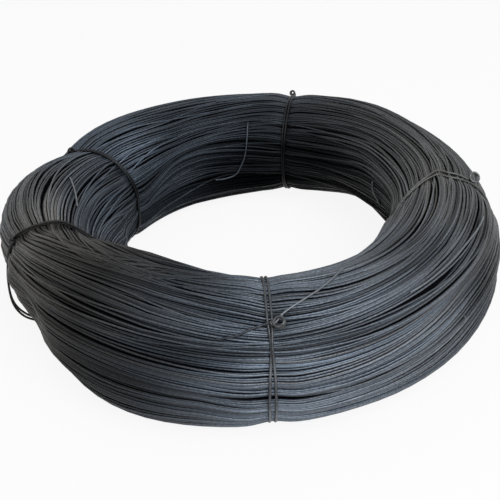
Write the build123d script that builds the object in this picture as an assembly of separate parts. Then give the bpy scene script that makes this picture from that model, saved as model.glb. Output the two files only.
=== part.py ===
"""Coil of soft binding wire, held by five doubled wire ties.

The coil lies flat on the floor with its axis along +Z. Lengths are in mm, angles in degrees.
"""

import os
from math import atan2, cos, degrees, radians, sin, sqrt

from build123d import *

# Wire and coil
WIRE_DIAMETER = 1.6
OUTER_DIAMETER = 360.0
BORE_DIAMETER = 190.0
FOOT_WIDTH = 25.0
WALL_HEIGHT = 15.5
CROWN_BAND_COUNT = 8
CORNER_BAND_COUNT = 3

# Grooves between the lays of turns, as they show on the two ends
GROOVE_WIDTH = 2.8
GROOVE_DEPTH = 1.5
SMOOTH_BAND_COUNT = 1
FOOT_GROOVE_SHARES = (-0.3, 0.3)

# Long gaps between lays, each as angle round the coil, way it faces, span and slant
LAY_GAP_ANGLES = {
    "right_gap": (302.0, 45.0, 63.0, 15.0),
    "right_low_gap": (296.0, 8.0, 43.0, 28.0),
    "front_low_gap": (272.0, 1.0, 30.0, -9.0),
    "left_low_gap": (228.5, 32.0, 38.0, -31.0),
    "back_left_gap": (160.0, 129.0, 76.0, -50.0),
    "left_bore_gap": (181.0, 141.0, 60.0, -57.0),
    "back_gap": (66.0, 133.0, 71.0, 15.0),
}
LAY_GAP_WIDTH = 4.4
LAY_GAP_DEPTH = 2.4

# Ties, as angles round the coil, and the waist each one draws into it
TIE_ANGLES = {
    "tie_front": 270.5,
    "tie_left": 199.5,
    "tie_back_left": 155.5,
    "tie_back": 71.5,
    "tie_right": 355.0,
}
TIE_BITE = 2.4
WAIST_FLOOR = 6.0
WAIST_WIDTH = 22.0
TIE_CLEARANCE = 0.1
STRAND_GAP = 0.3
STRAND_SIDE_COUNT = 6
LOOSE_TIES = ("tie_left",)
LOOSE_CORNER_RADIUS = 13.0

# Twisted ends of a tie, finished with an eye
KNOT_CORNER_INDEX = 2
KNOT_LIFT = 30.0
KNOT_SEAT_SHARE = 0.5
KNOT_LENGTH = 4.0
KNOT_TURN_COUNT = 1
KNOT_STEP_COUNT = 8
KNOT_THICKNESS_SHARE = 0.9
EYE_BORE = 4.4
EYE_SIDE_COUNT = 8

# Derived sizes
half_width = (OUTER_DIAMETER - BORE_DIAMETER) / 4
middle_radius = (OUTER_DIAMETER + BORE_DIAMETER) / 4
foot_half = FOOT_WIDTH / 2
corner_radius = half_width - foot_half
crown_height = corner_radius + WALL_HEIGHT
strand_radius = WIRE_DIAMETER / 2
strand_offset = strand_radius + STRAND_GAP / 2
strand_inset = TIE_BITE - TIE_CLEARANCE - strand_radius
eye_radius = (EYE_BORE + WIRE_DIAMETER) / 2


def bend(centre, radius, start, sweep_angle, bands):
    """Corners of the straight bands that go round an arc, each with the way it faces."""
    step = sweep_angle / bands
    reach = radius / cos(radians(step / 2))
    corners = []
    for index in range(bands):
        angle = start + (index + 0.5) * step
        outward = Vector(cos(radians(angle)), sin(radians(angle)))
        corners.append((Vector(centre) + outward * reach, angle))
    return corners


def section_corners(inset, outer_radius=corner_radius):
    """Corners of the wound section, moved in by the inset: outer corner, crown, inner corner."""
    side = half_width - inset
    outer_centre = (half_width - outer_radius, outer_radius)
    outer = bend(outer_centre, outer_radius - inset, -90, 90, CORNER_BAND_COUNT)
    crown = bend((0, crown_height), side, 0, 180, CROWN_BAND_COUNT)
    inner_centre = (-foot_half, corner_radius)
    inner = bend(inner_centre, corner_radius - inset, 180, 90, CORNER_BAND_COUNT)
    return outer, crown, inner


def grooved(place, angle, half_turn):
    """Three points of a V-shaped groove at a place on the outline that faces along the angle."""
    outward = Vector(cos(radians(angle)), sin(radians(angle)))
    before = Vector(sin(radians(angle - half_turn)), -cos(radians(angle - half_turn)))
    after = Vector(-sin(radians(angle + half_turn)), cos(radians(angle + half_turn)))
    half = GROOVE_WIDTH / 2
    return [place + before * half, place - outward * GROOVE_DEPTH, place + after * half]


def section_face():
    """Section of the wound coil, with its grooves; x is outward from the middle, y is up."""
    outer, crown, inner = section_corners(0)
    points = []
    for share in FOOT_GROOVE_SHARES:
        points += grooved(Vector(share * FOOT_WIDTH, 0), -90, 0)
    points += [place for place, angle in outer]
    for index, (place, angle) in enumerate(crown):
        edge = min(index, CROWN_BAND_COUNT - 1 - index)
        if edge < SMOOTH_BAND_COUNT:
            points.append(place)
        else:
            points += grooved(place, angle, 90 / CROWN_BAND_COUNT)
    points += [place for place, angle in inner]
    return make_face(Polyline(points, close=True))


def upright(sketch):
    """Stand a section of the ring on the plane through the coil's axis."""
    return Plane.XZ * Pos(middle_radius, 0) * sketch


def swept(inset, profile, outer_radius=corner_radius):
    """Sweep a profile once round the section, from the middle of the foot."""
    outer, crown, inner = section_corners(inset, outer_radius)
    foot = Vector(0, inset)
    points = [foot] + [place for place, angle in outer + crown + inner] + [foot]
    path = upright(Wire.make_polygon(points, close=False))
    start = Plane(origin=path @ 0, x_dir=(0, 0, -1), z_dir=path % 0)
    return sweep(start * profile, path=path, transition=Transition.RIGHT)


def lay_gap(angle, facing, span, slant):
    """Ring of V section, set off the coil's axis, that bites deepest at the angle and tapers out."""
    level = cos(radians(facing))
    rise = sin(radians(facing))
    tip_radius = middle_radius + (half_width - LAY_GAP_DEPTH) * level
    tip_height = crown_height + (half_width - LAY_GAP_DEPTH) * rise
    # How far off the axis the ring stands, back from the bite and to one side of it
    swing = LAY_GAP_DEPTH / (1 - cos(radians(span / 2)))
    drift = half_width * slant / span
    back = -swing * level
    side = -drift * rise
    # How the ring tips, back from the bite and to one side of it
    lean = -swing * rise / tip_radius
    roll = drift * level / tip_radius
    across = sqrt(tip_radius**2 - side**2)
    tip = Vector((across - back) * sqrt(1 + lean**2), 0)
    mouth = tip + Vector(level, rise) * (2 * LAY_GAP_DEPTH)
    aside = Vector(-rise, level) * LAY_GAP_WIDTH
    profile = make_face(Polyline(tip, mouth + aside, mouth - aside, close=True))
    ring = revolve(Plane.XZ * profile, axis=Axis.Z)
    height = tip_height - lean * (across - back)
    seat = Plane(origin=(back, side, height), x_dir=(1, 0, lean), z_dir=(-lean, -roll, 1))
    return Rot(Z=angle - degrees(atan2(side, across))) * (seat * ring)


def wire_coil():
    """Turned body of the coil: grooves on its ends, gaps between its lays, a waist under each tie."""
    body = revolve(upright(section_face()), axis=Axis.Z)
    for angle, facing, span, slant in LAY_GAP_ANGLES.values():
        body -= lay_gap(angle, facing, span, slant)
    slope = (WAIST_WIDTH - WAIST_FLOOR) / 2
    profile = Polygon(
        (-TIE_BITE, -WAIST_FLOOR / 2),
        (-TIE_BITE, WAIST_FLOOR / 2),
        (TIE_BITE, WAIST_FLOOR / 2 + 2 * slope),
        (TIE_BITE, -WAIST_FLOOR / 2 - 2 * slope),
        align=None,
    )
    waist = swept(0, profile)
    for angle in TIE_ANGLES.values():
        body -= Rot(Z=angle) * waist
    return body


def faceted(rings):
    """Closed solid through a row of rings of points, with flat three-sided faces between them."""
    faces = [Face(Wire.make_polygon(rings[0])), Face(Wire.make_polygon(rings[-1]))]
    for low, high in zip(rings, rings[1:]):
        for index in range(len(low)):
            after = (index + 1) % len(low)
            faces.append(Face(Wire.make_polygon([low[index], low[after], high[after]])))
            faces.append(Face(Wire.make_polygon([low[index], high[after], high[index]])))
    return Solid(Shell(faces))


def tie_knot():
    """Twisted ends of a tie with the eye they finish in, at the outer shoulder of the section."""
    place, angle = section_corners(strand_inset)[1][KNOT_CORNER_INDEX]
    along = Vector(-sin(radians(angle)), 0, cos(radians(angle)))
    outward = Vector(cos(radians(angle)), 0, sin(radians(angle)))
    round_coil = Vector(0, 1, 0)
    corner = Vector(middle_radius + place.X, -strand_offset, place.Y)
    foot = corner + outward * (KNOT_SEAT_SHARE * strand_radius)
    lift = radians(KNOT_LIFT)
    seat = Plane(origin=foot, x_dir=along, z_dir=round_coil * cos(lift) + outward * sin(lift))
    half_pair = WIRE_DIAMETER
    half_thick = KNOT_THICKNESS_SHARE * strand_radius
    pair = [(-half_pair, -half_thick), (half_pair, -half_thick)]
    pair += [(half_pair, half_thick), (-half_pair, half_thick)]
    rings = []
    for step in range(KNOT_STEP_COUNT + 1):
        share = step / KNOT_STEP_COUNT
        turn = radians(360 * KNOT_TURN_COUNT * share)
        ring = []
        for x, y in pair:
            turned = Vector(x * cos(turn) - y * sin(turn), x * sin(turn) + y * cos(turn))
            ring.append(turned + Vector(0, 0, KNOT_LENGTH * share))
        rings.append(ring)
    loop = []
    for index in range(EYE_SIDE_COUNT + 1):
        angle = radians(360 * (index + 0.5) / EYE_SIDE_COUNT)
        loop.append(Vector(eye_radius * cos(angle), 0, eye_radius * sin(angle)))
    middle = (loop[0] + loop[-2]) * 0.5
    path = Wire.make_polygon([middle] + loop[:-1] + [middle], close=False)
    start = Plane(origin=path @ 0, x_dir=(0, 1, 0), z_dir=path % 0)
    bead = start * RegularPolygon(strand_radius, STRAND_SIDE_COUNT)
    eye = sweep(bead, path=path, transition=Transition.RIGHT)
    eye = Pos(0, 0, KNOT_LENGTH + eye_radius - strand_radius) * eye
    return seat * (Part() + faceted(rings) + eye)


def wire_tie(outer_radius):
    """Doubled wire tie round the section; a loose one hangs clear of the outer lower corner."""
    strand = swept(strand_inset, RegularPolygon(strand_radius, STRAND_SIDE_COUNT), outer_radius)
    tie = tie_knot()
    for side in (-1, 1):
        tie += Pos(0, side * strand_offset, 0) * strand
    return tie


os.makedirs("parts", exist_ok=True)
export_step(wire_coil(), "parts/wire_coil.step")
tight_tie = wire_tie(corner_radius)
loose_tie = wire_tie(LOOSE_CORNER_RADIUS)
for node, angle in TIE_ANGLES.items():
    tie = loose_tie if node in LOOSE_TIES else tight_tie
    export_step(Rot(Z=angle) * tie, "parts/" + node + ".step")
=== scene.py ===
"""Coil of soft binding wire: its wound turns, loose ends and ties, dressed for a white studio."""

import logging
import math
from dataclasses import dataclass, replace
from enum import Enum

import bpy
import numpy as np
from mathutils import Matrix, Vector

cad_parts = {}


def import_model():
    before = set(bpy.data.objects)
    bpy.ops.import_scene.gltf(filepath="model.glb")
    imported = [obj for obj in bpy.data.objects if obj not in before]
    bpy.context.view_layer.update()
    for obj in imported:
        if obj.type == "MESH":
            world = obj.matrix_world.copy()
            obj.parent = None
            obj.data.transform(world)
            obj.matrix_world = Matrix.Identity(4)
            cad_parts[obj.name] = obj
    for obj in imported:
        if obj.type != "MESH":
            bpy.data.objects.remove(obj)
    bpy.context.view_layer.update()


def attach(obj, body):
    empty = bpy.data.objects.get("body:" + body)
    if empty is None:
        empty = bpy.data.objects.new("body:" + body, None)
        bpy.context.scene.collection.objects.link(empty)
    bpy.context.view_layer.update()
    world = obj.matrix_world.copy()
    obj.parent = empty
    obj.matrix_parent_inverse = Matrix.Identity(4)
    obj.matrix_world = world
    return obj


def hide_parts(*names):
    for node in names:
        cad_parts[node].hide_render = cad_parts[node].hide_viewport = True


LOG = logging.getLogger("wire_coil")
MM = 0.001
TAU = 2 * math.pi
WHITE = (1.0, 1.0, 1.0, 1.0)
Array = np.ndarray
Draw = np.random.Generator
Object = bpy.types.Object
Tree = bpy.types.NodeTree
Socket = bpy.types.NodeSocket
Inputs = dict[str | int, object]
Pair = tuple[float, float]
Triple = tuple[float, float, float]
Colour = Triple
Stations = tuple[Pair, ...]
Line = tuple[Triple, ...]


class Lay(Enum):
    """Side of the wound section that a lay of turns covers, as its run in mm round the section."""

    UNDER = (-21.8, 40.0)
    OUTER = (40.0, 100.0)
    CROWN = (100.0, 178.0)
    INNER = (178.0, 262.0)


class Slot(Enum):
    """Material slots of the record."""

    COIL = "coil_wire"
    TIE = "tie_wire"


def fill_inputs(tree: Tree, node: bpy.types.Node, inputs: Inputs) -> None:
    """Fill the inputs of a node.

    Args:
        tree: Tree that the node is in.
        node: The node.
        inputs: What goes into each input: a socket to link, or a plain value.
    """
    for name, value in inputs.items():
        if isinstance(value, Socket):
            tree.links.new(value, node.inputs[name])
        else:
            node.inputs[name].default_value = value


def add_node(tree: Tree, kind: str, inputs: Inputs, **settings: object) -> bpy.types.Node:
    """Add a node to a tree.

    Args:
        tree: The tree.
        kind: Type of the node.
        inputs: What goes into each input: a socket to link, or a plain value.
        settings: Settings of the node, which choose what inputs it has.

    Returns:
        The node, with its inputs filled.
    """
    node = tree.nodes.new(kind)
    for name, value in settings.items():
        setattr(node, name, value)
    fill_inputs(tree, node, inputs)
    return node


def multiply(tree: Tree, first: Socket, second: Socket | float) -> Socket:
    """Multiply a value in a node tree by another."""
    return add_node(tree, "ShaderNodeMath", {0: first, 1: second}, operation="MULTIPLY").outputs["Value"]


def stand(name: str, data: bpy.types.ID) -> Object:
    """Put a mesh, lamp or camera into the scene.

    Args:
        name: Name of the object.
        data: What it shows.

    Returns:
        The object, at the origin.
    """
    thing = bpy.data.objects.new(name, data)
    bpy.context.scene.collection.objects.link(thing)
    return thing


def fold_turn(angle: Array) -> Array:
    """Bring a difference of angles in degrees to within half a turn either way."""
    return np.mod(angle + 180, 360) - 180


@dataclass(frozen=True)
class OxideFinish:
    """Dark oxide skin of soft drawn steel wire: bluish where it is fresh, brownish where it has aged."""

    name: str
    cool_dark: Colour
    cool_light: Colour
    warm_dark: Colour
    warm_light: Colour
    metallic: float = 0.75
    gloss: float = 0.22
    rough_low: float = 0.38
    rough_high: float = 0.54
    scale_size: float = 1100.0
    scale_detail: float = 2.0
    scale_depth: float = 0.1
    bead_rate: float = 460.0
    bead_detail: float = 1.0
    bead_depth: float = 0.16
    bead_height: float = 0.00014
    bead_bump: float = 0.4
    noise_low: float = 0.35
    noise_high: float = 0.65

    def material(self) -> bpy.types.Material:
        """Build the node material.

        Returns:
            A material that reads each wire's tone, partly painted shade and painted light, and its warmth,
            broken up by a fine scale and by beads.
        """
        made = bpy.data.materials.new(self.name)
        made.use_nodes = True
        tree = made.node_tree
        place = add_node(tree, "ShaderNodeTexCoord", {})
        grain = {"Vector": place.outputs["Object"], "Scale": self.scale_size, "Detail": self.scale_detail}
        scale = add_node(tree, "ShaderNodeTexNoise", grain).outputs["Fac"]
        row = {"W": self.mark(tree, "along"), "Scale": self.bead_rate, "Detail": self.bead_detail}
        beads = add_node(tree, "ShaderNodeTexNoise", row, noise_dimensions="1D").outputs["Fac"]
        lift = self.spread(tree, scale, 1 - self.scale_depth, 1 + self.scale_depth)
        dash = self.spread(tree, beads, 1 - self.bead_depth, 1 + self.bead_depth)
        lit = multiply(tree, self.mark(tree, "tone"), multiply(tree, lift, dash))
        cool = self.blend(tree, lit, (*self.cool_dark, 1.0), (*self.cool_light, 1.0))
        warm = self.blend(tree, lit, (*self.warm_dark, 1.0), (*self.warm_light, 1.0))
        dents = {"Strength": self.bead_bump, "Distance": self.bead_height, "Height": beads}
        fill_inputs(tree, tree.nodes["Principled BSDF"], {
            "Metallic": self.metallic,
            "Specular IOR Level": self.gloss,
            "Base Color": self.blend(tree, self.mark(tree, "warmth"), cool, warm),
            "Roughness": self.spread(tree, scale, self.rough_high, self.rough_low),
            "Normal": add_node(tree, "ShaderNodeBump", dents).outputs["Normal"],
        })
        return made

    @staticmethod
    def mark(tree: Tree, name: str) -> Socket:
        """Read one of the marks that every wire carries."""
        return add_node(tree, "ShaderNodeAttribute", {}, attribute_name=name).outputs["Fac"]

    def spread(self, tree: Tree, value: Socket, low: float, high: float) -> Socket:
        """Spread a noise over a range of values."""
        limits = {"From Min": self.noise_low, "From Max": self.noise_high, "To Min": low, "To Max": high}
        return add_node(tree, "ShaderNodeMapRange", {"Value": value, **limits}).outputs["Result"]

    @staticmethod
    def blend(tree: Tree, share: Socket, first: object, second: object) -> Socket:
        """Blend from a first to a second colour, plain or from a socket, by a share."""
        ends = {"Factor": share, "A": first, "B": second}
        return add_node(tree, "ShaderNodeMix", ends, data_type="RGBA").outputs["Result"]


@dataclass(frozen=True)
class Section:
    """Wound section of the coil in mm; its run starts at the middle of the foot and goes outward."""

    middle_radius: float = 137.5
    half_width: float = 42.5
    foot_half: float = 12.5
    corner_radius: float = 30.0
    wall_height: float = 15.5

    @property
    def crown_height(self) -> float:
        """Height of the crown's centre above the floor."""
        return self.corner_radius + self.wall_height

    @property
    def perimeter(self) -> float:
        """Length of the outline."""
        arcs = math.pi * (self.corner_radius + self.half_width)
        return arcs + 2 * (self.foot_half + self.wall_height)

    def place(self, run: Array, inset: Array) -> tuple[Array, Array, Array]:
        """Find points of the outline, moved in by an inset.

        Args:
            run: Lengths round the outline in mm.
            inset: How far each point lies inside the outline, in mm.

        Returns:
            Distance out from the middle radius, height, and the angle each point faces.
        """
        foot, corner, wall, half = self.foot_half, self.corner_radius, self.wall_height, self.half_width
        crown, right = self.crown_height, math.pi / 2
        # Stretches of the outline: length, centre, way the centre moves, angle faced, its rate, radius
        stretches = np.array([
            (foot, 0, corner, 1, 0, -right, 0, corner),
            (right * corner, foot, corner, 0, 0, -right, 1 / corner, corner),
            (wall, 0, corner, 0, 1, 0, 0, half),
            (math.pi * half, 0, crown, 0, 0, 0, 1 / half, half),
            (wall, 0, crown, 0, -1, math.pi, 0, half),
            (right * corner, -foot, corner, 0, 0, math.pi, 1 / corner, corner),
            (foot, -foot, corner, 1, 0, 3 * right, 0, corner),
        ])
        starts = np.cumsum(stretches[:, 0]) - stretches[:, 0]
        run = np.mod(run, self.perimeter)
        part = np.searchsorted(starts, run, side="right") - 1
        along = run - starts[part]
        _, x, y, step_x, step_y, turn, rate, radius = np.moveaxis(stretches[part], -1, 0)
        turn = turn + rate * along
        reach = radius - inset
        return x + step_x * along + reach * np.cos(turn), y + step_y * along + reach * np.sin(turn), turn


@dataclass(frozen=True)
class TiePlan:
    """One doubled wire tie: where it sits and how it draws the coil in, in degrees and mm."""

    node: str
    angle: float
    knot_run: float
    lift: float
    twist: float
    eye_bore: float
    eye_roll: float = 0.0
    bite: float = 2.4
    spread: float = 9.0
    drift: Stations = ((0.0, 0.0),)
    parting: Stations = ((0.0, 0.0),)
    grip: Stations = ((0.0, 1.0),)
    slack: Line = ()
    shade: float = 0.5

    @staticmethod
    def at(stations: Stations, run: Array) -> Array:
        """Read a row of stations at runs round the section."""
        return np.interp(run, [place for place, value in stations], [value for place, value in stations])


@dataclass(frozen=True)
class Groove:
    """Dark gap between two lays: the angles it spans, its run at start, middle and end, and its size in mm.

    The label is the run that the gap keeps to when the drift of the turns is taken off.
    """

    start: float
    end: float
    runs: Triple
    label: float
    half_gap: float
    sink: float
    taper: float = 0.7

    @property
    def half_span(self) -> float:
        """Half the angle that the groove spans, in degrees."""
        return (self.end - self.start) / 2

    def offset(self, angle: Array) -> Array:
        """Angle from the groove's middle, within half a turn either way."""
        return fold_turn(angle - self.start - self.half_span)

    def window(self, angle: Array) -> Array:
        """Share of the groove's full size at each angle, from 0 to 1, tapering to nothing at its ends."""
        share = np.clip(np.abs(self.offset(angle)) / self.half_span, 0, 1)
        return np.cos(math.pi / 2 * share) ** self.taper

    def course(self, offset: Array) -> Array:
        """Follow the groove as a smooth curve.

        Args:
            offset: Angles from the groove's middle in degrees.

        Returns:
            Runs of the groove in mm.
        """
        first, middle, last = self.runs
        share = np.clip(offset / self.half_span, -1, 1)
        return middle + share * (last - first) / 2 + share ** 2 * ((first + last) / 2 - middle)


TIES = (
    TiePlan(
        "tie_front", 270.5, knot_run=117.6, lift=24.0, twist=3.0, eye_bore=5.0,
        parting=((0, 0.4), (62, 1.2), (84, 0.6), (104, -0.9), (112, -0.4), (120, 0.1), (160, 0.5),
                 (200, 0.3), (283, 0.4)),
        grip=((0, 1), (150, 1), (178, 0.35), (215, 0.35), (240, 1)),
    ),
    TiePlan(
        "tie_left", 199.5, knot_run=98.0, lift=10.0, twist=2.0, eye_bore=2.4, eye_roll=90.0, shade=0.18,
        drift=((0, 0), (40, -3), (75, -6), (98, -6.6), (114, -4.4), (127, -3.2), (136, -2),
               (142, -0.8), (150, 2.5), (160, 5.5), (185, 6.5), (215, 3), (240, 0)),
        grip=((0, 1), (70, 1.2), (95, 2.2), (125, 2), (150, 1.2), (200, 1)),
        slack=((0, 0, 1.5), (14, 14, 1.5), (24, 25, 2.4), (34, 35, 6), (44, 42, 12.5),
               (52, 45.5, 22), (65, 45.5, 36), (80, 43, 50)),
        parting=((0, 0), (25, 0.2), (40, 1.6), (58, 1.2), (80, 0.2), (92, 0.6), (102, -0.7),
                 (112, -1.3), (124, -0.7), (150, -1.4), (200, -1.9), (230, 0)),
    ),
    TiePlan(
        "tie_back_left", 155.5, knot_run=127.0, lift=24.0, twist=2.0, eye_bore=2.2, eye_roll=70.0,
        shade=0.18,
    ),
    TiePlan(
        "tie_back", 71.5, knot_run=119.0, lift=38.0, twist=2.0, eye_bore=2.0, eye_roll=70.0, shade=0.35,
        drift=((0, 0), (70, 0), (100, 1.1), (150, 1), (200, 0)),
    ),
    TiePlan(
        "tie_right", 355, knot_run=116.0, lift=42.0, twist=1.2, eye_bore=5.6, shade=0.75,
        drift=((0, 0), (80, 0), (117, 1), (135, 1), (144, 2.5), (156, -1),
               (168, -5), (180, -9), (205, -8), (245, -2), (270, 0)),
        parting=((0, 0), (112, 0), (126, 2.2), (140, 2.6), (152, 0.6), (170, 0)),
    ),
)


@dataclass(frozen=True)
class Spot:
    """Soft-edged place on the bundle's skin: its angle and span, its run and width, and its strength."""

    angle: float
    span: float
    run: float
    width: float
    strength: float

    def felt(self, near: Array, off: Array) -> Array:
        """Strength at so many degrees and mm from its middle."""
        return self.strength * np.exp(-(near / self.span) ** 2 - (off / self.width) ** 2)


# Where the bundle stands out or draws in, in mm
SWELLINGS = (
    Spot(178, 17, 95, 40, 8),
    Spot(205, 12, 36, 20, -9),
    Spot(204, 11, 175, 28, -12),
    Spot(199.5, 5, 118, 40, -3),
    Spot(221, 10, 40, 25, -1.5),
    Spot(199, 5, 82, 18, 3),
    Spot(209, 6, 70, 17, -6.5),
    Spot(0, 13, 208, 28, -10),
    Spot(41, 15, 272, 22, -6),
    Spot(85, 22, 265, 25, -2),
    Spot(305, 30, 165, 35, -2),
    Spot(340, 10, 80, 40, 1),
    Spot(240, 18, 42, 28, 4.2),
    Spot(238, 16, 180, 30, 4),
    Spot(52, 25, 240, 35, -13),
    Spot(35, 14, 250, 30, -8),
    Spot(14, 15, 240, 35, -15),
    Spot(170, 14, 240, 30, -4),
    Spot(47, 14, 115, 40, 3),
    Spot(95, 32, 116, 35, -3),
    Spot(156, 10, 108, 40, -5),
    Spot(322, 18, 60, 35, 1.5),
    Spot(285, 25, 48, 25, -1.5),
)

# Where the wires are painted lighter or darker than round them, as the natural logarithm of its tone's
# share:
# partly the oxide's own tone, partly painted shade (the far wall of the bore) and painted light (lit
# flanks, the bottom near the floor)
OXIDE_AND_PAINTED_LIGHT = (
    Spot(250, 14, 158, 18, -1.25),
    Spot(253, 9, 97, 10, -1),
    Spot(264, 6, 99, 7, -0.6),
    Spot(262, 8, 62, 8, -0.5),
    Spot(208, 7, 66, 14, -0.6),
    Spot(198, 5, 90, 10, -0.5),
    Spot(283, 11, 104, 9, -0.8),
    Spot(325, 9, 85, 16, -1),
    Spot(338, 8, 110, 14, -0.65),
    Spot(242, 12, 72, 16, -0.95),
    Spot(314, 10, 146, 14, -0.65),
    Spot(284, 9, 139, 12, -0.45),
    Spot(50, 25, 196, 18, -0.9),
    Spot(77, 28, 213, 19, -1.5),
    Spot(193.5, 6, 160, 18, -0.25),
    Spot(192, 6, 134, 15, 1.1),
    Spot(144, 11, 172, 14, 1.2),
    Spot(121, 14, 218, 18, 0.8),
    Spot(278, 16, 54, 9, 0.85),
    Spot(273, 14, 89, 8, 0.8),
    Spot(305, 8, 90, 9, 0.4),
    Spot(293, 9, 123, 9, 0.3),
    Spot(85, 20, 140, 10, 0.7),
    Spot(138, 16, 150, 22, 0.4),
    Spot(90, 25, 120, 9, 0.5),
)


@dataclass(frozen=True)
class PatinaAndShade:
    """Oxide and painted shade at one angle round the coil, from 0 to 1: tone, partly painted shade; warmth;
    how dark it is inside, which is painted shade in the bore; and how cool it is inside.
    """

    angle: float
    tone: float
    warmth: float
    inside: float = 0.88
    cooling: float = 0.0


# How the oxide changes round the coil, with painted shade: the tone is partly painted shade, darker towards
# the back, and the inside of the bore is painted dark as shade
PATINAS_AND_SHADE = (
    PatinaAndShade(0, 0.75, 0.8),
    PatinaAndShade(30, 0.45, 0.7, 0.96),
    PatinaAndShade(60, 0.26, 0.4, 0.98),
    PatinaAndShade(90, 0.2, 0.05, 0.98),
    PatinaAndShade(120, 0.28, 0, 0.66),
    PatinaAndShade(155, 0.53, 0, 0.45),
    PatinaAndShade(175, 0.7, 0.6, 0.42, 1),
    PatinaAndShade(198, 0.72, 1, 0.6, 0.8),
    PatinaAndShade(212, 0.38, 1),
    PatinaAndShade(228, 0.2, 0.85),
    PatinaAndShade(245, 0.5, 0.35),
    PatinaAndShade(262, 0.96, 0.15),
    PatinaAndShade(295, 0.97, 0.3),
    PatinaAndShade(325, 0.92, 0.5),
    PatinaAndShade(345, 0.8, 0.75),
)

# Where the lays part
GROOVES = (
    Groove(270.5, 343, (102.5, 111, 114), 107.5, 1.4, 2.2),
    Groove(257, 286, (74.5, 66.5, 64.5), 68.5, 2, 1.8),
    Groove(207, 272, (87.5, 93.5, 90.5), 91.5, 1, 1.5),
    Groove(195, 243.5, (93, 107.5, 108), 107, 0.6, 0.9),
    Groove(196, 239.5, (100.5, 123.5, 133), 120.5, 0.8, 1.2),
    Groove(122, 198.5, (186.5, 171.5, 148), 171, 1.3, 1.8),
    Groove(151.5, 211, (196.5, 183.5, 156), 180, 1.5, 1.9),
    Groove(30.5, 101.5, (169, 175, 181), 174.5, 1, 1.5),
    Groove(68, 111.5, (192, 187, 184), 187.5, 1, 1.4),
    Groove(275, 318, (70, 82.5, 92.5), 76.5, 0.9, 1.2),
)


def smooth_line(knots: Array, steps: int) -> Array:
    """Lead a smooth line through a row of points.

    Args:
        knots: The points, one a row.
        steps: Points from one of them to the next.

    Returns:
        The points of the line, one a row.
    """
    slope = np.gradient(knots, axis=0)
    place = np.linspace(0, len(knots) - 1, steps * (len(knots) - 1) + 1)
    first = np.minimum(place.astype(int), len(knots) - 2)
    share = (place - first)[:, None]
    rest = 1 - share
    line = (1 + 2 * share) * rest ** 2 * knots[first] + share ** 2 * (1 + 2 * rest) * knots[first + 1]
    return line + share * rest ** 2 * slope[first] - share ** 2 * rest * slope[first + 1]


@dataclass(frozen=True)
class LooseEnd:
    """Free end of a turn: its stations as angle, run and height above the skin in mm, and its shade."""

    line: Line
    tone: float = 0.8
    warmth: float = 0.4


# Where free ends of turns lie
LOOSE_ENDS = (
    LooseEnd(((271.5, 117.6, 1.9), (273.5, 123.2, 1.8), (277.5, 128.8, 1.6), (282.5, 135.2, 1.4),
              (287.5, 142.4, 1.4), (292.5, 150.4, 1.7)), 1, 0.5),
    LooseEnd(((270, 118, 1.8), (266.5, 114.4, 1.5), (263.5, 110.4, 1.3), (259.5, 108, 0.4)), 0.25),
    LooseEnd(((88.2, 173.5, -0.4), (88.5, 178.4, 1.3), (89, 187.4, 1.6), (90, 199.2, 1.7),
              (92.5, 210.4, 1.8), (95.5, 218.6, 1.8), (101, 221.6, 1.4), (106, 222, -0.2)), 0.4, 0.2),
    LooseEnd(((177, 147, -0.4), (180, 149, 1.2), (184.5, 151.6, 1.4), (189, 153, 1),
              (192, 153.6, -0.4)), 0.9, 0.7),
    LooseEnd(((314.9, 80.9, -0.4), (314.5, 80.6, 1), (314.1, 80.3, 2.2)), 1, 0.5),
    LooseEnd(((18, 192, -0.2), (17, 197.6, 1.1), (15, 208, 1.6), (14.5, 214, 1.2)), 0.6, 0.6),
    LooseEnd(((341, 111, -0.4), (337, 112.8, 1.1), (326, 116, 1.3), (315.5, 116, 1.2),
              (307.5, 115.2, 1.1), (303, 115, -0.4)), 1, 0.5),
)


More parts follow.
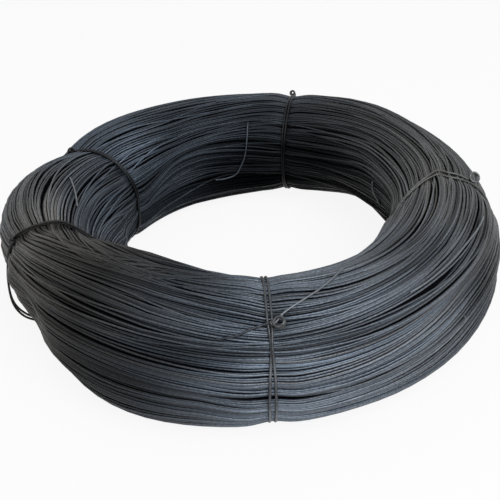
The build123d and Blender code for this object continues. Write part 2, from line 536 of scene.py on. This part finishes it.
@dataclass
class Bundle:
    """The wound bundle as a whole: its section, ties and grooves, and how its turns wander."""

    section: Section = Section()
    ties: tuple[TiePlan, ...] = TIES
    grooves: tuple[Groove, ...] = GROOVES
    swellings: tuple[Spot, ...] = SWELLINGS
    oxide_and_painted_light: tuple[Spot, ...] = OXIDE_AND_PAINTED_LIGHT
    patinas_and_shade: tuple[PatinaAndShade, ...] = PATINAS_AND_SHADE
    seed: int = 11
    stations: int = 132
    fine_steps: int = 7200
    crowding: float = 3.5
    crowd_reach: float = 14.0
    wave_count: int = 30
    wave_turns: int = 3
    flock_waves: tuple[int, int] = (4, 22)
    swell_waves: tuple[int, int] = (5, 26)
    flock_reach: float = 0.8
    relief: float = 0.9
    floor_clear: float = 0.8
    drift_rest: float = 0.008
    drift_fade: float = 22.0
    drift_reach: float = 14.0
    part_reach: float = 9.0
    sink_reach: float = 4.0
    inside_run: float = 240.0
    inside_half: float = 38.0
    inside_soft: float = 5.0
    inner_run: float = 195.0
    inner_half: float = 50.0
    inner_soft: float = 6.0

    def __post_init__(self) -> None:
        """Choose the stations round the coil, closer by the ties, and the waves that every turn shares."""
        rng = np.random.default_rng(self.seed)
        fine = np.linspace(0, 360, self.fine_steps + 1)
        near = sum(np.exp(-(self.off_tie(0.0, fine, tie) / self.crowd_reach) ** 2) for tie in self.ties)
        density = 1 + self.crowding * near
        total = np.concatenate([[0.0], np.cumsum((density[1:] + density[:-1]) / 2)])
        steps = np.linspace(0, total[-1], self.stations + 1)[:-1]
        self.angles = np.interp(steps, total, fine)
        self.flock = self.waves(rng, *self.flock_waves)
        self.swell = self.waves(rng, *self.swell_waves)

    def waves(self, rng: Draw, low: int, high: int) -> Array:
        """Draw waves over the coil's skin.

        Args:
            rng: Seeded source of the draw.
            low: Fewest waves round the section.
            high: Most waves round the section.

        Returns:
            One row a wave: waves round the section, waves round the coil, phase and weight.
        """
        across = rng.integers(low, high, self.wave_count)
        round_coil = rng.integers(-self.wave_turns, self.wave_turns + 1, self.wave_count)
        phase = rng.uniform(0, TAU, self.wave_count)
        weight = rng.normal(0, 1, self.wave_count) / np.sqrt(across)
        weight = weight / np.sqrt(np.sum(weight ** 2) / 2)
        return np.stack([across, round_coil, phase, weight], 1)

    def off_tie(self, run: Array | float, angle: Array, tie: TiePlan) -> Array:
        """Distance in mm round the coil's middle from a tie, which drifts as it goes round the section."""
        lead = tie.at(tie.drift, np.mod(run, self.section.perimeter))
        return np.radians(fold_turn(angle - tie.angle - lead)) * self.section.middle_radius

    def wave_sum(self, waves: Array, run: Array, angle: Array) -> Array:
        """Add up waves, one a row, at points of the skin: heights with a mean square of about one."""
        share = run / self.section.perimeter
        return sum(weight * np.cos(TAU * across * share + round_coil * np.radians(angle) + phase)
                   for across, round_coil, phase, weight in waves)

    def drift(self, run: Array, angle: Array) -> Array:
        """Sideways drift of the turns, so that they keep along the grooves.

        Args:
            run: Runs in mm.
            angle: Angles in degrees.

        Returns:
            Drift along the run in mm.
        """
        pull = np.zeros(np.broadcast(run, angle).shape)
        weight = np.full(pull.shape, self.drift_rest)
        for groove in self.grooves:
            near = groove.offset(angle)
            beyond = np.maximum(np.abs(near) - groove.half_span, 0.0)
            off = self.fold(run - groove.label)
            share = np.exp(-(beyond / self.drift_fade) ** 2 - (off / self.drift_reach) ** 2)
            pull += share * (groove.course(near) - groove.label)
            weight += share
        return pull / weight

    def fold(self, run: Array) -> Array:
        """Bring a difference of runs to within half the section's perimeter either way."""
        half = self.section.perimeter / 2
        return np.mod(run + half, 2 * half) - half

    def gather(self, spots: tuple[Spot, ...], run: Array, angle: Array) -> Array:
        """Add up the strength of soft-edged places at points of the skin."""
        return sum(spot.felt(fold_turn(angle - spot.angle), self.fold(run - spot.run)) for spot in spots)

    def band(self, run: Array, middle: float, half: float, soft: float) -> Array:
        """Share, from 0 to 1, of lying in a soft-edged band of the section."""
        return 1 / (1 + np.exp((np.abs(self.fold(run - middle)) - half) / soft))

    def aged(self, name: str, angle: Array) -> Array:
        """Read one value of the table of oxide and painted shade at angles round the coil."""
        values = [getattr(place, name) for place in self.patinas_and_shade]
        return np.interp(np.mod(angle, 360), [place.angle for place in self.patinas_and_shade], values, period=360)

    def patina_and_shade(self, run: Array, angle: Array) -> tuple[Array, Array]:
        """Tone and warmth of the oxide at points of the skin, with painted shade and painted light in the
        tone.

        Args:
            run: Runs in mm.
            angle: Angles in degrees.

        Returns:
            Tone and warmth, from 0 to 1.
        """
        inside = self.band(run, self.inside_run, self.inside_half, self.inside_soft)
        inner = self.band(run, self.inner_run, self.inner_half, self.inner_soft)
        # Painted shade: the bore's turns are darkened, and the tone by angle and the spots add painted
        # shade and painted light.
        dark = self.aged("inside", angle) * inside
        cool = self.aged("cooling", angle) * inner
        tone = self.aged("tone", angle) * (1 - dark) * np.exp(self.gather(self.oxide_and_painted_light, run, angle))
        return tone, self.aged("warmth", angle) * (1 - cool)

    def waist(self, run: Array, angle: Array) -> Array:
        """How far in mm the ties draw the bundle in at points of its skin."""
        return sum(tie.bite * tie.at(tie.grip, np.mod(run, self.section.perimeter))
                   * np.exp(-(self.off_tie(run, angle, tie) / tie.spread) ** 2) for tie in self.ties)

    def on_top(self, run: Array, angle: Array, rise: Array | float) -> Array:
        """Inset of a wire that lies on the bundle, with its centre so far above the drawn-in skin."""
        return self.waist(run, angle) - self.gather(self.swellings, run, angle) - rise

    def lay_down(self, home: float, run: Array, depth: Array, angle: Array) -> tuple[Array, Array]:
        """Place the centres of one turn on the bundle.

        Args:
            home: Mean run of the turn in mm, which says on which side of a groove it stays.
            run: Runs round the section in mm, before the turns wander together.
            depth: Depths of the wire centres under the skin in mm.
            angle: Angles in degrees.

        Returns:
            Points in mm, with the last axis as x, y and z, and the runs that they moved to.
        """
        moved = run + self.flock_reach * self.wave_sum(self.flock, run, angle)
        sunk = depth + self.relief * (0.5 + 0.5 * np.tanh(self.wave_sum(self.swell, run, angle)))
        for groove in self.grooves:
            off = self.fold(run - groove.label)
            window = groove.window(angle)
            side = math.copysign(1.0, self.fold(home - groove.label))
            moved = moved + groove.half_gap * window * side * np.exp(-np.abs(off) / self.part_reach)
            sunk = sunk + groove.sink * window * np.exp(-(off / self.sink_reach) ** 2)
        moved = moved + self.drift(run, angle)
        placed = self.point(moved, self.on_top(moved, angle, -sunk), angle)
        placed[..., 2] = np.maximum(placed[..., 2], self.floor_clear)
        return placed, moved

    def point(self, run: Array, inset: Array, angle: Array) -> Array:
        """Turn runs, insets and angles into points in mm."""
        out, height = self.section.place(run, inset)[:2]
        return self.ring(out, height, angle)

    def ring(self, out: Array, height: Array, angle: Array) -> Array:
        """Turn places in the section into points round the coil.

        Args:
            out: Distances out from the middle radius in mm.
            height: Heights in mm.
            angle: Angles in degrees.

        Returns:
            Points in mm, with the last axis as x, y and z.
        """
        radius = self.section.middle_radius + out
        turn = np.radians(angle)
        return np.stack([radius * np.cos(turn), radius * np.sin(turn), height], -1)


@dataclass
class WirePath:
    """Centre line of one wire in mm, with its tone, dark to light and partly painted shade, and its warmth,
    along it or all over.
    """

    points: Array
    tone: Array | float
    warmth: Array | float = 0.5
    closed: bool = True


@dataclass
class WireSkin:
    """Geometry Nodes tree that gives wire paths their round skin.

    Seams of neighbouring wires stand apart by some points, and their rows of beads by a length in metres.
    """

    name: str = "wire_skin"
    seam_step: int = 37
    bead_shift: float = 1.7

    def __post_init__(self) -> None:
        """Build the tree and keep the identifiers of its inputs."""
        self.tree = bpy.data.node_groups.new(self.name, "GeometryNodeTree")
        self.socket("Paths", "NodeSocketGeometry")
        self.radius = self.socket("Wire radius", "NodeSocketFloat")
        self.sides = self.socket("Sides", "NodeSocketInt")
        self.finish = self.socket("Finish", "NodeSocketMaterial")
        self.socket("Wire", "NodeSocketGeometry", "OUTPUT")
        given = self.step("NodeGroupInput", {})
        curve = self.step("GeometryNodeMeshToCurve", {"Mesh": given["Paths"]})
        round_wire = {"Radius": given["Wire radius"], "Resolution": given["Sides"]}
        ring = self.step("GeometryNodeCurvePrimitiveCircle", round_wire)
        sweep = {"Curve": curve["Curve"], "Profile Curve": ring["Curve"], "Fill Caps": True}
        skin = self.step("GeometryNodeCurveToMesh", sweep)
        smooth = self.step("GeometryNodeSetShadeSmooth", {"Geometry": skin["Mesh"]})
        real = self.step("GeometryNodeRealizeInstances", {"Geometry": smooth["Geometry"]})
        paint = {"Geometry": real["Geometry"], "Material": given["Finish"]}
        dress = self.step("GeometryNodeSetMaterial", paint)
        self.step("NodeGroupOutput", {"Wire": dress["Geometry"]})

    def socket(self, name: str, kind: str, way: str = "INPUT") -> str:
        """Give the tree an input or output, and say its identifier."""
        return self.tree.interface.new_socket(name, in_out=way, socket_type=kind).identifier

    def step(self, kind: str, inputs: dict[str, object]) -> bpy.types.NodeOutputs:
        """Add a node to the tree, and give its outputs."""
        return add_node(self.tree, kind, inputs).outputs

    def draw(self, name: str, paths: list[WirePath], radius: float, sides: int,
             finish: bpy.types.Material) -> Object:
        """Skin a set of wire paths as one plain mesh.

        Args:
            name: Name of the piece.
            paths: Centre lines of the wires.
            radius: Wire radius in mm.
            sides: Sides of the wire's section.
            finish: Material of the wire.

        Returns:
            The finished mesh object, at the origin.
        """
        carrier = stand(name + "_paths", self.path_mesh(name, paths))
        skin = carrier.modifiers.new("skin", "NODES")
        skin.node_group = self.tree
        skin[self.radius] = radius * MM
        skin[self.sides] = sides
        skin[self.finish] = finish
        bpy.context.view_layer.update()
        ready = carrier.evaluated_get(bpy.context.evaluated_depsgraph_get())
        mesh = bpy.data.meshes.new_from_object(ready)
        mesh.name = name
        carrier.modifiers.remove(skin)
        bpy.data.objects.remove(carrier)
        return stand(name, mesh)

    def path_mesh(self, name: str, paths: list[WirePath]) -> bpy.types.Mesh:
        """Put wire paths into one mesh of edges.

        Args:
            name: Name of the piece.
            paths: Centre lines of the wires.

        Returns:
            The mesh, with each wire's tone, warmth and length on its points.
        """
        points = []
        edges = []
        marks = {"tone": [], "warmth": [], "along": []}
        first = 0
        for number, path in enumerate(paths):
            count = len(path.points)
            shift = self.seam_step * number % count if path.closed else 0
            line = np.roll(path.points, shift, 0) * MM
            order = np.arange(first, first + count)
            pairs = np.stack([order, np.roll(order, -1)], 1)
            points.append(line)
            edges.append(pairs if path.closed else pairs[:-1])
            marks["tone"].append(np.roll(np.broadcast_to(path.tone, count), shift))
            marks["warmth"].append(np.roll(np.broadcast_to(path.warmth, count), shift))
            steps = np.linalg.norm(np.diff(line, axis=0), axis=1)
            marks["along"].append(np.concatenate([[0.0], np.cumsum(steps)]) + self.bead_shift * number)
            first += count
        mesh = bpy.data.meshes.new(name + "_paths")
        mesh.from_pydata(np.concatenate(points).tolist(), np.concatenate(edges).tolist(), [])
        for label, values in marks.items():
            mark = mesh.attributes.new(label, "FLOAT", "POINT")
            mark.data.foreach_set("value", np.concatenate(values).astype(np.float32))
        return mesh


@dataclass(frozen=True)
class Winding:
    """One lay of closed turns: its pitch, least depth and spread of depths in mm, and its mean tone, lower
    for the under-lay as painted shade in the gaps.
    """

    pitch: float
    depth: float
    scatter: float
    bright: float


@dataclass(frozen=True)
class Wander:
    """How a turn wanders by itself: its fewest and most waves round the coil, and their size in mm."""

    low: int
    high: int
    size: float


@dataclass
class WoundCoil:
    """The coil's turns: a core painted near black as shade, two lays of wound wire, and the loose turns and
    ends on top.
    """

    bundle: Bundle
    skin: WireSkin
    finish: OxideFinish
    shaded_bore_finish: OxideFinish
    shaded_core_finish: OxideFinish
    seed: int = 5
    wire_radius: float = 0.7
    sides: int = 6
    # The under-lay is painted darker, as shade in the gaps between the top turns.
    windings: tuple[Winding, ...] = (Winding(1.36, -0.8, 0.7, 0.6), Winding(1.9, 0.4, 0.7, 0.42))
    jitter: float = 0.25
    sway: Wander = Wander(1, 6, 0.6)
    dip: Wander = Wander(1, 6, 0.25)
    tone_spread: float = 0.22
    tone_limits: Pair = (0.4, 1.7)
    warmth_spread: float = 0.12
    loose_count: int = 64
    loose_runs: Pair = (30.0, 254.0)
    loose_rise: float = 1.1
    loose_sway: Wander = Wander(1, 3, 3.5)
    loose_dip: Wander = Wander(2, 7, 0.45)
    loose_tones: Pair = (0.6, 1.1)
    loose_ends: tuple[LooseEnd, ...] = LOOSE_ENDS
    end_steps: int = 8
    core_depth: float = 3.6
    core_rows: int = 72

    def build(self) -> list[Object]:
        """Build every piece of the coil.

        Returns:
            The core, the lays and the loose turns and ends.
        """
        rng = np.random.default_rng(self.seed)
        pieces = [self.core()]
        steel = self.finish.material()
        dull = self.shaded_bore_finish.material()
        turns = [turn for winding in self.windings for turn in self.turns(rng, winding)]
        for lay in Lay:
            chosen = [path for run, path in turns if self.within(run, lay)]
            # The bore's lay takes the dull finish with painted shade.
            finish = dull if lay is Lay.INNER else steel
            pieces.append(self.draw("coil_lay_" + lay.name.lower(), chosen, finish))
        pieces.append(self.draw("coil_loose_turns", self.loose(rng), steel))
        pieces.append(self.draw("coil_loose_ends", self.ends(), steel))
        for piece in pieces:
            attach(piece, "root")
            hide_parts("wire_coil")
        return pieces

    def draw(self, name: str, paths: list[WirePath], finish: bpy.types.Material) -> Object:
        """Skin one piece of the coil."""
        return self.skin.draw(name, paths, self.wire_radius, self.sides, finish)

    def within(self, run: float, lay: Lay) -> bool:
        """Say whether a run lies on the side of the section that a lay covers."""
        low, high = lay.value
        return (run - low) % self.bundle.section.perimeter < high - low

    def own_wave(self, rng: Draw, wander: Wander) -> Array:
        """Draw one turn's own slow wave round the coil.

        Args:
            rng: Seeded source of the draw.
            wander: How the turn wanders.

        Returns:
            The wave in mm at each station.
        """
        angle = np.radians(self.bundle.angles)
        wave = np.zeros_like(angle)
        for count in range(wander.low, wander.high + 1):
            size = wander.size / math.sqrt(count)
            wave += rng.normal(0, size) * np.cos(count * angle + rng.uniform(0, TAU))
        return wave

    def turns(self, rng: Draw, winding: Winding) -> list[tuple[float, WirePath]]:
        """Wind one lay of closed turns all round the section.

        Args:
            rng: Seeded source of each turn's wander.
            winding: The lay.

        Returns:
            Each turn's run and path.
        """
        perimeter = self.bundle.section.perimeter
        count = int(perimeter / winding.pitch)
        angles = self.bundle.angles
        made = []
        for index in range(count):
            run = (index + rng.uniform(-self.jitter, self.jitter)) * perimeter / count
            runs = run + self.own_wave(rng, self.sway)
            low = self.wire_radius + winding.depth + winding.scatter * rng.uniform(0, 1)
            depths = low + np.abs(self.own_wave(rng, self.dip))
            points, moved = self.bundle.lay_down(run, runs, depths, angles)
            tone, warmth = self.bundle.patina_and_shade(moved, angles)
            own = float(np.clip(rng.normal(1.0, self.tone_spread), *self.tone_limits))
            tone = np.clip(tone * winding.bright * own, 0, 1)
            warmth = np.clip(warmth + rng.normal(0, self.warmth_spread), 0, 1)
            made.append((run, WirePath(points, tone, warmth)))
        return made

    def loose(self, rng: Draw) -> list[WirePath]:
        """Lay the turns that cross over their neighbours at a low angle.

        Args:
            rng: Seeded source of each turn's wander.

        Returns:
            The turns' paths.
        """
        angles = self.bundle.angles
        made = []
        for _ in range(self.loose_count):
            run = rng.uniform(*self.loose_runs)
            runs = run + self.own_wave(rng, self.loose_sway)
            depths = self.wire_radius - self.loose_rise + np.abs(self.own_wave(rng, self.loose_dip))
            points, moved = self.bundle.lay_down(run, runs, depths, angles)
            tone, warmth = self.bundle.patina_and_shade(moved, angles)
            made.append(WirePath(points, np.clip(tone * rng.uniform(*self.loose_tones), 0, 1), warmth))
        return made

    def ends(self) -> list[WirePath]:
        """Lay the free ends of turns on the bundle, each along a smooth line through its stations.

        Returns:
            The ends' paths.
        """
        made = []
        for end in self.loose_ends:
            angle, run, rise = smooth_line(np.array(end.line), self.end_steps).T
            points = self.bundle.point(run, self.bundle.on_top(run, angle, rise), angle)
            made.append(WirePath(points, end.tone, end.warmth, False))
        return made

    def core(self) -> Object:
        """Build the inside of the winding that shows in the gaps, painted near black as the shade deep
        between the turns.

        Returns:
            The core's mesh object.
        """
        runs = np.linspace(0, self.bundle.section.perimeter, self.core_rows + 1)[:-1]
        runs, angles = np.meshgrid(runs, self.bundle.angles, indexing="ij")
        points = self.bundle.point(runs, self.bundle.on_top(runs, angles, -self.core_depth), angles) * MM
        number = np.arange(runs.size).reshape(runs.shape)
        after = np.roll(number, -1, 0)
        corners = [number, np.roll(number, -1, 1), np.roll(after, -1, 1), after]
        faces = np.stack(corners, -1).reshape(-1, 4).tolist()
        mesh = bpy.data.meshes.new("coil_core")
        mesh.from_pydata(points.reshape(-1, 3).tolist(), [], faces)
        mesh.polygons.foreach_set("use_smooth", np.ones(len(faces), bool))
        mesh.materials.append(self.shaded_core_finish.material())
        return stand("coil_core", mesh)


@dataclass
class WireTies:
    """The doubled ties round the bundle, each with twisted ends and an eye."""

    bundle: Bundle
    skin: WireSkin
    finish: OxideFinish
    seed: int = 40
    wire_radius: float = 0.8
    sides: int = 8
    strand_gap: float = 0.3
    strand_points: int = 180
    rise: float = 0.9
    wave_count: int = 5
    wave_size: float = 0.16
    slack_steps: int = 8
    slack_blend: float = 25.0
    twist_turns: float = 1.0
    knot_steps: int = 24
    eye_splay: float = 12.0
    eye_lap: float = 0.8

    def build(self) -> list[Object]:
        """Build one piece for each tie.

        Returns:
            The finished ties.
        """
        steel = self.finish.material()
        pieces = []
        for number, plan in enumerate(self.bundle.ties):
            rng = np.random.default_rng(self.seed + number)
            paths = [self.strand(plan, side, rng) for side in (-1.0, 1.0)]
            paths += self.knot(plan)
            piece = self.skin.draw(plan.node + "_wire", paths, self.wire_radius, self.sides, steel)
            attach(piece, "root")
            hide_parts(plan.node)
            pieces.append(piece)
        return pieces

    def strand(self, plan: TiePlan, side: float, rng: Draw) -> WirePath:
        """Lead one strand of a tie round the section.

        Args:
            plan: The tie.
            side: Minus one or one, for the two strands.
            rng: Seeded source of its small waves.

        Returns:
            The strand's centre line.
        """
        section = self.bundle.section
        runs = np.linspace(0, section.perimeter, self.strand_points + 1)[:-1]
        half = self.wire_radius + self.strand_gap / 2 + plan.at(plan.parting, runs)
        over = 2 * np.sqrt(np.maximum(self.wire_radius ** 2 - half ** 2, 0.0))
        angle = plan.angle + plan.at(plan.drift, runs)
        inset = self.bundle.on_top(runs, angle, self.rise + over * max(side, 0.0))
        out, height = section.place(runs, inset)[:2]
        if plan.slack:
            out, height = self.slack(plan, runs, out, height)
        points = self.bundle.ring(out, height, angle)
        points[:, 2] = np.maximum(points[:, 2], self.wire_radius)
        aside = side * half
        for count in range(1, self.wave_count + 1):
            size = rng.normal(0, self.wave_size)
            aside = aside + size * np.cos(count * TAU * runs / section.perimeter + rng.uniform(0, TAU))
        turn = np.radians(angle)
        across = np.stack([-np.sin(turn), np.cos(turn), np.zeros_like(turn)], -1)
        tone, warmth = self.bundle.patina_and_shade(runs, angle)
        return WirePath(points + across * aside[:, None], np.clip(tone * plan.shade, 0, 1), warmth)

    def slack(self, plan: TiePlan, runs: Array, out: Array, height: Array) -> tuple[Array, Array]:
        """Let a loose strand hang clear of the outer side of the bundle.

        Args:
            plan: The tie.
            runs: Runs of the strand's points in mm.
            out: Distances out from the middle radius in mm.
            height: Heights in mm.

        Returns:
            The changed distances and heights.
        """
        stations, *hung = smooth_line(np.array(plan.slack), self.slack_steps).T
        last = stations[-1]
        taut = np.clip((runs - last) / self.slack_blend, 0, 1)
        taut = taut * taut * (3 - 2 * taut)
        changed = []
        for tight, loose in zip((out, height), hung):
            joined = tight + (1 - taut) * (loose[-1] - np.interp(last, runs, tight))
            changed.append(np.where(runs <= last, np.interp(runs, stations, loose), joined))
        return changed[0], changed[1]

    def knot(self, plan: TiePlan) -> list[WirePath]:
        """Twist the ends of a tie together and finish them in an eye.

        Args:
            plan: The tie.

        Returns:
            Centre lines of the two twisted ends and of the doubled eye.
        """
        section = self.bundle.section
        run = np.array([plan.knot_run])
        angle = plan.angle + plan.at(plan.drift, run)
        inset = self.bundle.on_top(run, angle, self.rise + self.wire_radius)
        out, height, facing = (float(value[0]) for value in section.place(run, inset))
        turn = math.radians(angle[0])
        radial = Vector((math.cos(turn), math.sin(turn), 0.0))
        forward = Vector((-math.sin(turn), math.cos(turn), 0.0))
        outward = radial * math.cos(facing) + Vector((0, 0, math.sin(facing)))
        along = Vector((0, 0, math.cos(facing))) - radial * math.sin(facing)
        foot = radial * (section.middle_radius + out) + Vector((0, 0, height))
        lift = math.radians(plan.lift)
        axis = forward * math.cos(lift) + outward * math.sin(lift)
        other = axis.cross(along)
        paths = []
        for start in (0.0, math.pi):
            points = []
            for step in np.linspace(0, 1, self.knot_steps + 1):
                spin = start + TAU * self.twist_turns * step
                swing = along * math.cos(spin) + other * math.sin(spin)
                points.append(foot + axis * (plan.twist * step) + swing * self.wire_radius)
            paths.append(WirePath(np.array(points), plan.shade, closed=False))
        reach = plan.eye_bore / 2 + self.wire_radius
        middle = foot + axis * (plan.twist + reach - self.wire_radius)
        spins = np.linspace(0, TAU, self.knot_steps + 1)[:-1]
        for side in (-1.0, 1.0):
            roll = math.radians(plan.eye_roll + side * self.eye_splay)
            wide = along * math.cos(roll) + other * math.sin(roll)
            centre = middle + wide.cross(axis) * (side * self.eye_lap * self.wire_radius)
            loop = [centre + wide * (reach * math.cos(spin)) + axis * (reach * math.sin(spin))
                    for spin in spins]
            paths.append(WirePath(np.array(loop), plan.shade))
        return paths


@dataclass(frozen=True)
class Viewpoint:
    """Where the camera stands, in degrees, mm and pixels of a frame 500 pixels wide."""

    distance: float = 637.0
    elevation: float = 34.95
    azimuth: float = -2.5
    roll: float = -1.41
    focal: float = 840.0
    frame: float = 500.0
    sensor: float = 36.0
    nearest: float = 10.0
    aim_side: float = -2.3
    aim_up: float = -19.5
    aim_height: float = 45.0

    def camera(self) -> None:
        """Stand the camera in the scene."""
        rise = math.radians(self.elevation)
        swing = math.radians(self.azimuth)
        back = Vector((math.sin(swing) * math.cos(rise), -math.cos(swing) * math.cos(rise), math.sin(rise)))
        right = Vector((math.cos(swing), math.sin(swing), 0.0))
        up = back.cross(right)
        aim = right * self.aim_side + up * self.aim_up + Vector((0, 0, self.aim_height))
        eye = aim + back * self.distance
        roll = math.radians(self.roll)
        across = right * math.cos(roll) + up * math.sin(roll)
        above = up * math.cos(roll) - right * math.sin(roll)
        data = bpy.data.cameras.new("camera")
        data.sensor_width = self.sensor
        data.lens = self.focal / self.frame * self.sensor
        data.clip_start = self.nearest * MM
        camera = stand("camera", data)
        turn = Matrix((across, above, back)).transposed()
        camera.matrix_world = Matrix.Translation(eye * MM) @ turn.to_4x4()
        bpy.context.scene.camera = camera


@dataclass(frozen=True)
class Studio:
    """White floor, soft lamp and pale surroundings, in metres and watts."""

    floor_half: float = 12.0
    floor_white: float = 0.85
    floor_rough: float = 0.9
    floor_glow: float = 0.9
    sky_level: float = 0.5
    key_place: Triple = (0.45, -0.75, 1.1)
    key_aim: Triple = (0.0, 0.0, 0.04)
    key_size: float = 1.0
    key_watts: float = 12.0

    def build(self) -> None:
        """Set up the floor, the lamp and the world."""
        bpy.context.scene.view_settings.view_transform = "Standard"
        self.floor()
        self.world()
        self.lamp()

    def floor(self) -> None:
        """Lay the floor under the coil, which the camera and reflections see as nearly white."""
        half = self.floor_half
        mesh = bpy.data.meshes.new("floor")
        corners = [(-half, -half, 0), (half, -half, 0), (half, half, 0), (-half, half, 0)]
        mesh.from_pydata(corners, [], [(0, 1, 2, 3)])
        paint = bpy.data.materials.new("floor_paint")
        paint.use_nodes = True
        tree = paint.node_tree
        shader = tree.nodes["Principled BSDF"]
        fill_inputs(tree, shader, {
            "Base Color": (self.floor_white,) * 3 + (1.0,),
            "Roughness": self.floor_rough,
            "Specular IOR Level": 0.0,
        })
        white = add_node(tree, "ShaderNodeEmission", {"Color": WHITE})
        share = multiply(tree, self.seen(tree), self.floor_glow)
        pick = {"Fac": share, 1: shader.outputs["BSDF"], 2: white.outputs["Emission"]}
        shown = add_node(tree, "ShaderNodeMixShader", pick)
        fill_inputs(tree, tree.nodes["Material Output"], {"Surface": shown.outputs["Shader"]})
        mesh.materials.append(paint)
        stand("floor", mesh)

    @staticmethod
    def seen(tree: Tree) -> Socket:
        """Tell the rays that see the studio from those that light it.

        Args:
            tree: Node tree to work in.

        Returns:
            A socket that is one for camera, glossy and transmission rays.
        """
        path = add_node(tree, "ShaderNodeLightPath", {})
        total = path.outputs["Is Camera Ray"]
        for name in ("Is Glossy Ray", "Is Transmission Ray"):
            either = {0: total, 1: path.outputs[name]}
            total = add_node(tree, "ShaderNodeMath", either, operation="MAXIMUM").outputs["Value"]
        return total

    def world(self) -> None:
        """Give the scene pale surroundings that the camera sees as white."""
        world = bpy.data.worlds.new("pale_room")
        world.use_nodes = True
        tree = world.node_tree
        sky = tree.nodes["Background"]
        fill_inputs(tree, sky, {"Color": WHITE, "Strength": self.sky_level})
        white = add_node(tree, "ShaderNodeBackground", {"Color": WHITE, "Strength": 1.0})
        pick = {"Fac": self.seen(tree), 1: sky.outputs["Background"], 2: white.outputs["Background"]}
        shown = add_node(tree, "ShaderNodeMixShader", pick)
        fill_inputs(tree, tree.nodes["World Output"], {"Surface": shown.outputs["Shader"]})
        bpy.context.scene.world = world

    def lamp(self) -> None:
        """Hang the soft lamp that shines at the coil."""
        data = bpy.data.lights.new("key", "AREA")
        data.size = self.key_size
        data.energy = self.key_watts
        lamp = stand("key", data)
        lamp.location = self.key_place
        aim = Vector(self.key_aim) - Vector(self.key_place)
        lamp.rotation_euler = aim.to_track_quat("-Z", "Y").to_euler()


COIL_FINISH = OxideFinish(
    name="dark_oxide_wire",
    cool_dark=(0.004, 0.005, 0.007),
    cool_light=(0.140, 0.175, 0.224),
    warm_dark=(0.006, 0.006, 0.006),
    warm_light=(0.176, 0.171, 0.160),
)
# Painted shade: the bore's lay gets darker dark colours than the rest of the coil, as well as less gloss.
SHADED_BORE_FINISH = replace(
    COIL_FINISH,
    name="dull_shaded_bore_wire",
    cool_dark=(0.0014, 0.0018, 0.0024),
    warm_dark=(0.0018, 0.0018, 0.0018),
    gloss=0.04,
    rough_low=0.6,
    rough_high=0.8,
)
# Painted shade: the core is near black, standing for the shade deep in the winding under the turns.
SHADED_CORE_FINISH = OxideFinish(
    name="painted_shade_core",
    cool_dark=(0.004, 0.004, 0.005),
    cool_light=(0.012, 0.012, 0.013),
    warm_dark=(0.004, 0.004, 0.004),
    warm_light=(0.012, 0.012, 0.012),
    metallic=0.0,
    gloss=0.0,
    rough_low=0.85,
    rough_high=0.95,
)
TIE_FINISH = OxideFinish(
    name="dark_tie_wire",
    cool_dark=(0.004, 0.004, 0.005),
    cool_light=(0.165, 0.180, 0.200),
    warm_dark=(0.004, 0.004, 0.004),
    warm_light=(0.175, 0.170, 0.160),
)


def main() -> None:
    """Build the coil, its ties and the studio, and report each piece."""
    logging.basicConfig(level=logging.INFO, format="%(message)s")
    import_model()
    bundle = Bundle()
    skin = WireSkin()
    pieces = WoundCoil(bundle, skin, COIL_FINISH, SHADED_BORE_FINISH, SHADED_CORE_FINISH).build()
    pieces += WireTies(bundle, skin, TIE_FINISH).build()
    for piece in pieces:
        piece.data.calc_loop_triangles()
        LOG.info("%s: %d triangles", piece.name, len(piece.data.loop_triangles))
    Studio().build()
    Viewpoint().camera()


if __name__ == "__main__":
    main()
